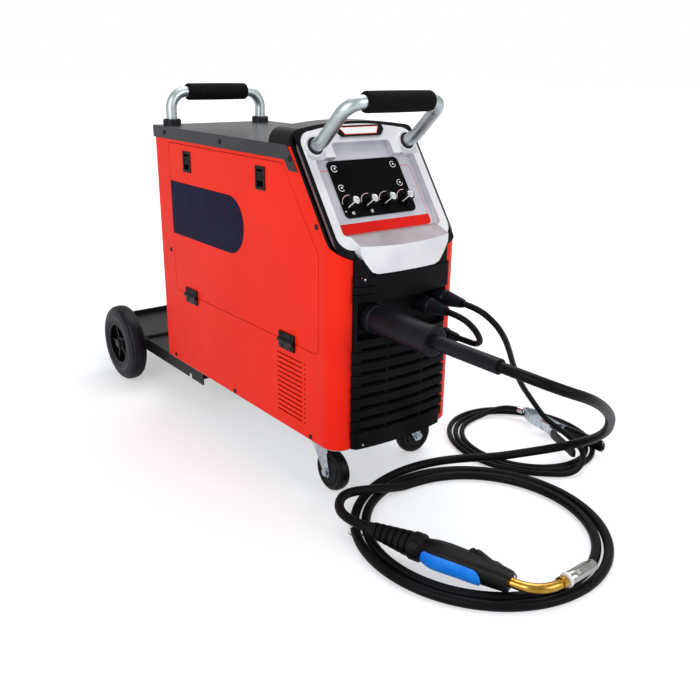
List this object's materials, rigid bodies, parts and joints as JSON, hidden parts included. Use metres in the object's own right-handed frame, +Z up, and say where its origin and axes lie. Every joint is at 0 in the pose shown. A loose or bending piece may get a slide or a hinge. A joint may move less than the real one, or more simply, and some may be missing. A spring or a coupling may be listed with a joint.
{
  "type": "mig welder on cart",
  "caption": "Upright wire-feed welding machine on its own wheeled cart, with torch, earth lead and polarity jumper plugged in.",
  "frame": {"origin": "on the floor under the middle of the machine and its cart, leads left out", "axes": "+Z up; the control panel faces -Y and the cylinder tray is at +Y; the service door is on the -X side"},
  "size_m": [0.6686, 1.3845, 0.6825],
  "materials": {
    "red_panel": "bright orange-red powder coat, satin",
    "cover": "taupe-grey powder coat with a soft gloss",
    "black_sheet": "black powder coat",
    "zinc_sheet": "galvanised sheet",
    "hood_plastic": "black moulding, satin gloss",
    "grille_plastic": "black moulding, satin",
    "silver_plastic": "silver metallic moulding",
    "plate_black": "gloss black panel",
    "button_metal": "metal caps",
    "tube_alloy": "satin anodised tube",
    "foam": "closed-cell foam",
    "tyre_rubber": "solid rubber",
    "hub_plastic": "moulded hub",
    "zinc_steel": "bright zinc plate",
    "black_screw": "blacked steel",
    "fitting_plastic": "black moulding",
    "torch_plastic": "black handle moulding",
    "brass": "lacquered brass",
    "cable": "black rubber sheath, slight sheen",
    "inner_steel": "machined steel",
    "heat_sink": "extruded fins",
    "spool_plastic": "moulded spool"
  },
  "bodies": {
    "chassis": {"cart_tray": "black_sheet", "rear_axle": "zinc_steel", "caster_plates": "zinc_steel", "base_pan": "zinc_sheet", "side_panel_left": "red_panel", "side_panel_right": "red_panel", "top_cover": "cover", "rear_panel": "black_sheet", "rear_fittings": "fitting_plastic", "rear_handle": "tube_alloy", "front_handle": "tube_alloy", "handle_grips": "foam", "handle_collars": "grille_plastic", "front_hood": "hood_plastic", "fascia": "silver_plastic", "control_plate": "plate_black", "front_grille": "grille_plastic", "front_sockets": "brass", "cabinet_hardware": "black_screw", "centre_wall": "zinc_sheet", "power_unit": "heat_sink", "wire_feeder": "inner_steel", "torch_plug": "fitting_plastic", "torch_lead": "cable", "torch_lead_coil": "cable", "torch_lead_tail": "cable", "torch_body": "torch_plastic", "torch_neck": "brass", "lead_plugs": "fitting_plastic", "earth_lead": "cable", "earth_lead_coil": "cable", "earth_lead_tail": "cable", "clamp_body": "zinc_steel", "jumper_lead": "cable"},
    "wheel_left": {"rear_tire_left": "tyre_rubber", "rear_hub_left": "hub_plastic"},
    "wheel_right": {"rear_tire_right": "tyre_rubber", "rear_hub_right": "hub_plastic"},
    "fork_left": {"caster_fork_left": "zinc_steel"},
    "fork_right": {"caster_fork_right": "zinc_steel"},
    "roller_left": {"caster_wheel_left": "tyre_rubber"},
    "roller_right": {"caster_wheel_right": "tyre_rubber"},
    "door": {"service_door": "red_panel", "door_hardware": "grille_plastic"},
    "latch_rear": {"latch_slider_rear": "grille_plastic"},
    "latch_front": {"latch_slider_front": "grille_plastic"},
    "knob_a": {"knob_1": "plate_black"},
    "knob_b": {"knob_2": "plate_black"},
    "knob_c": {"knob_3": "plate_black"},
    "knob_d": {"knob_4": "plate_black"},
    "button_a": {"button_1": "button_metal"},
    "button_b": {"button_2": "button_metal"},
    "rocker": {"power_switch": "fitting_plastic"},
    "fan": {"fan_rotor": "fitting_plastic"},
    "spool": {"wire_spool": "spool_plastic"},
    "drive": {"drive_roll": "inner_steel"},
    "arm": {"pressure_arm": "inner_steel"},
    "pinch": {"pressure_roll": "inner_steel"},
    "trigger": {"torch_trigger": "fitting_plastic"},
    "clamp_jaw": {"clamp_arm": "zinc_steel"}
  },
  "joints": [
    {"name": "wheel_left_spin", "type": "hinge", "parent": "chassis", "child": "wheel_left", "pos_m": [-0.1665, 0.31, 0.088], "axis": [1, 0, 0], "continuous": true},
    {"name": "wheel_right_spin", "type": "hinge", "parent": "chassis", "child": "wheel_right", "pos_m": [0.1665, 0.31, 0.088], "axis": [1, 0, 0], "continuous": true},
    {"name": "caster_left_swivel", "type": "hinge", "parent": "chassis", "child": "fork_left", "pos_m": [-0.094, -0.389, 0.09], "axis": [0, 0, 1], "continuous": true},
    {"name": "caster_right_swivel", "type": "hinge", "parent": "chassis", "child": "fork_right", "pos_m": [0.094, -0.389, 0.09], "axis": [0, 0, 1], "continuous": true},
    {"name": "caster_left_roll", "type": "hinge", "parent": "fork_left", "child": "roller_left", "pos_m": [-0.094, -0.417, 0.0375], "axis": [1, 0, 0], "continuous": true},
    {"name": "caster_right_roll", "type": "hinge", "parent": "fork_right", "child": "roller_right", "pos_m": [0.122, -0.389, 0.0375], "axis": [0, 1, 0], "continuous": true},
    {"name": "door_hinge", "type": "hinge", "parent": "chassis", "child": "door", "pos_m": [-0.1385, -0.17, 0.2654], "axis": [0, -1, 0], "range_deg": [0, 120]},
    {"name": "latch_rear_slide", "type": "slide", "parent": "door", "child": "latch_rear", "axis": [0, 0, 1], "range_m": [-0.009, 0], "stiffness_N_per_m": 150, "springref_m": 0.004},
    {"name": "latch_front_slide", "type": "slide", "parent": "door", "child": "latch_front", "axis": [0, 0, 1], "range_m": [-0.009, 0], "stiffness_N_per_m": 150, "springref_m": 0.004},
    {"name": "knob_a_turn", "type": "hinge", "parent": "chassis", "child": "knob_a", "pos_m": [-0.0602, -0.42207, 0.51087], "axis": [0, 0.8191, -0.5736], "range_deg": [0, 300]},
    {"name": "knob_b_turn", "type": "hinge", "parent": "chassis", "child": "knob_b", "pos_m": [-0.0214, -0.42207, 0.51087], "axis": [0, 0.8191, -0.5736], "range_deg": [0, 300]},
    {"name": "knob_c_turn", "type": "hinge", "parent": "chassis", "child": "knob_c", "pos_m": [0.0174, -0.42207, 0.51087], "axis": [0, 0.8191, -0.5736], "range_deg": [0, 300]},
    {"name": "knob_d_turn", "type": "hinge", "parent": "chassis", "child": "knob_d", "pos_m": [0.0562, -0.42207, 0.51087], "axis": [0, 0.8191, -0.5736], "range_deg": [0, 300]},
    {"name": "button_a_press", "type": "slide", "parent": "chassis", "child": "button_a", "axis": [0, 0.8191, -0.5736], "range_m": [0, 0.0012], "stiffness_N_per_m": 400, "springref_m": -0.001},
    {"name": "button_b_press", "type": "slide", "parent": "chassis", "child": "button_b", "axis": [0, 0.8191, -0.5736], "range_m": [0, 0.0012], "stiffness_N_per_m": 400, "springref_m": -0.001},
    {"name": "rocker_tilt", "type": "hinge", "parent": "chassis", "child": "rocker", "pos_m": [-0.07, 0.141, 0.5], "axis": [-1, 0, 0], "range_deg": [0, 20]},
    {"name": "fan_spin", "type": "hinge", "parent": "chassis", "child": "fan", "pos_m": [0.062, 0.115, 0.238], "axis": [0, 1, 0], "continuous": true},
    {"name": "spool_spin", "type": "hinge", "parent": "chassis", "child": "spool", "pos_m": [-0.07, -0.002, 0.412], "axis": [1, 0, 0], "continuous": true},
    {"name": "drive_spin", "type": "hinge", "parent": "chassis", "child": "drive", "pos_m": [-0.062, -0.323, 0.315], "axis": [1, 0, 0], "continuous": true},
    {"name": "arm_lift", "type": "hinge", "parent": "chassis", "child": "arm", "pos_m": [-0.062, -0.291, 0.362], "axis": [-1, 0, 0], "range_deg": [0, 60]},
    {"name": "pinch_spin", "type": "hinge", "parent": "arm", "child": "pinch", "pos_m": [-0.062, -0.323, 0.3458], "axis": [1, 0, 0], "continuous": true},
    {"name": "trigger_pull", "type": "hinge", "parent": "chassis", "child": "trigger", "pos_m": [-0.08009, -0.813, 0.03308], "axis": [0.0026, -0.0081, 1], "range_deg": [0, 8], "stiffness_Nm_per_rad": 0.3, "springref_deg": -17.19},
    {"name": "clamp_open", "type": "hinge", "parent": "chassis", "child": "clamp_jaw", "pos_m": [0.39429, -0.50227, 0.0225], "axis": [0, 0, 1], "range_deg": [0, 16], "stiffness_Nm_per_rad": 2.5, "springref_deg": -17.19}
  ],
  "couplings": [
    {"joint": "pinch_spin", "follows": "drive_spin", "ratio": -1}
  ]
}
